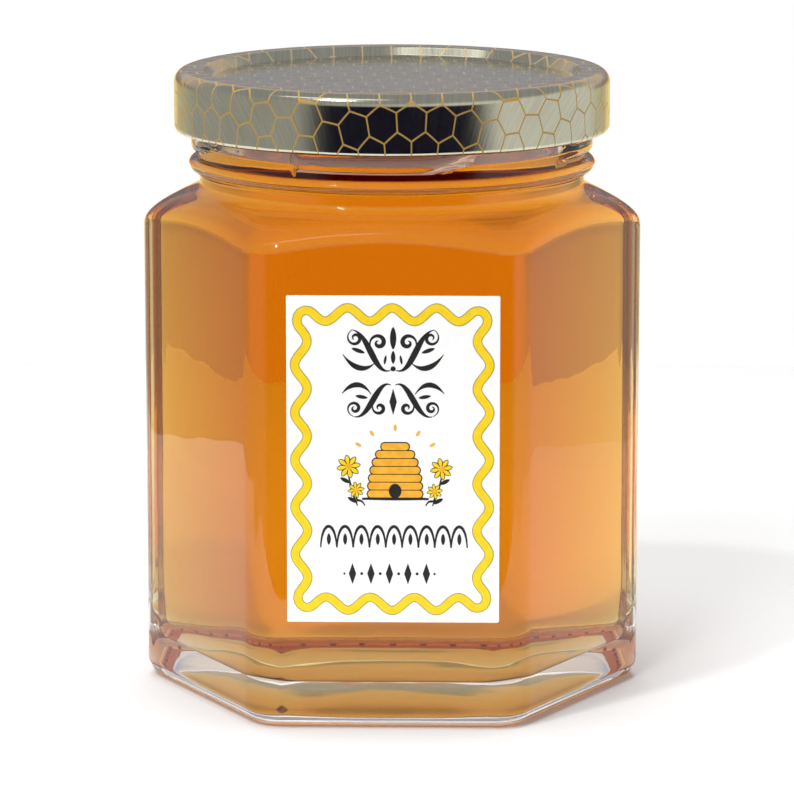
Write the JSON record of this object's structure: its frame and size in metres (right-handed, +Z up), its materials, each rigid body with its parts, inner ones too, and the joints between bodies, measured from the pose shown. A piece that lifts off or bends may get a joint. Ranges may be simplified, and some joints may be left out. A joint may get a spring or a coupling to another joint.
{
  "type": "honey jar",
  "caption": "Hexagonal glass jar of clear amber honey with a gold metal twist-off lid and a paper label on its front panel.",
  "frame": {"origin": "middle of the jar's foot on the surface it stands on", "axes": "+Z up along the jar's axis, -Y out of the panel that carries the label, +X to the right seen from the front, through a corner of the hexagon"},
  "size_m": [0.0696, 0.0623, 0.0869],
  "materials": {
    "clear_glass": "clear, smooth moulded flint glass with soft edges",
    "honey": "clear amber honey, slightly hazy",
    "gold_tinplate": "pale gold lacquered tinplate, satin, printed with thin ochre honeycomb lines",
    "label_paper": "white coated paper with a yellow wavy border"
  },
  "bodies": {
    "root": {"glass_jar": "clear_glass", "honey": "honey", "lid": "gold_tinplate", "label": "label_paper"}
  },
  "joints": []
}
